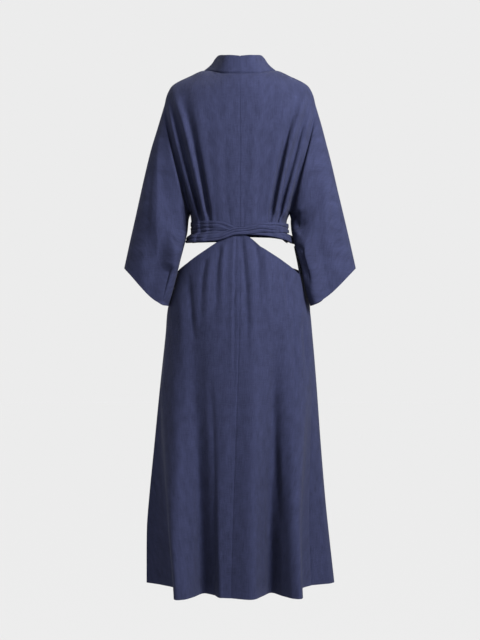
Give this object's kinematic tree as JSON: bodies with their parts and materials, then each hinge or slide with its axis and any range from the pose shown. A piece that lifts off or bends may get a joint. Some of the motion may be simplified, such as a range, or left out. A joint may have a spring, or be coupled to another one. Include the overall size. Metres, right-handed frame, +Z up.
{
  "type": "kimono robe",
  "caption": "Worn-form wrap robe with wide kimono sleeves, a standing neckband, a crossed waist sash tied in front, open waist cut-outs and a long flared skirt.",
  "frame": {"origin": "base of the neck, level with the shoulders that hold the robe up", "axes": "+Z up, +Y towards the robe's back, +X towards the wearer's left"},
  "size_m": [0.582, 0.3361, 1.3169],
  "materials": {
    "indigo_cloth": "matte plain weave with a faint slub and a soft sheen"
  },
  "bodies": {
    "root": {"bodice_back_left": "indigo_cloth", "bodice_back_right": "indigo_cloth", "bodice_front_left": "indigo_cloth", "bodice_front_right": "indigo_cloth", "neckband_left": "indigo_cloth", "neckband_right": "indigo_cloth", "sash_strand_a": "indigo_cloth", "sash_strand_b": "indigo_cloth", "sash_knot": "indigo_cloth", "sash_tail_long": "indigo_cloth", "sash_tail_short": "indigo_cloth", "skirt_back_left": "indigo_cloth", "skirt_back_right": "indigo_cloth", "skirt_front_left": "indigo_cloth", "skirt_front_right": "indigo_cloth"}
  },
  "joints": []
}
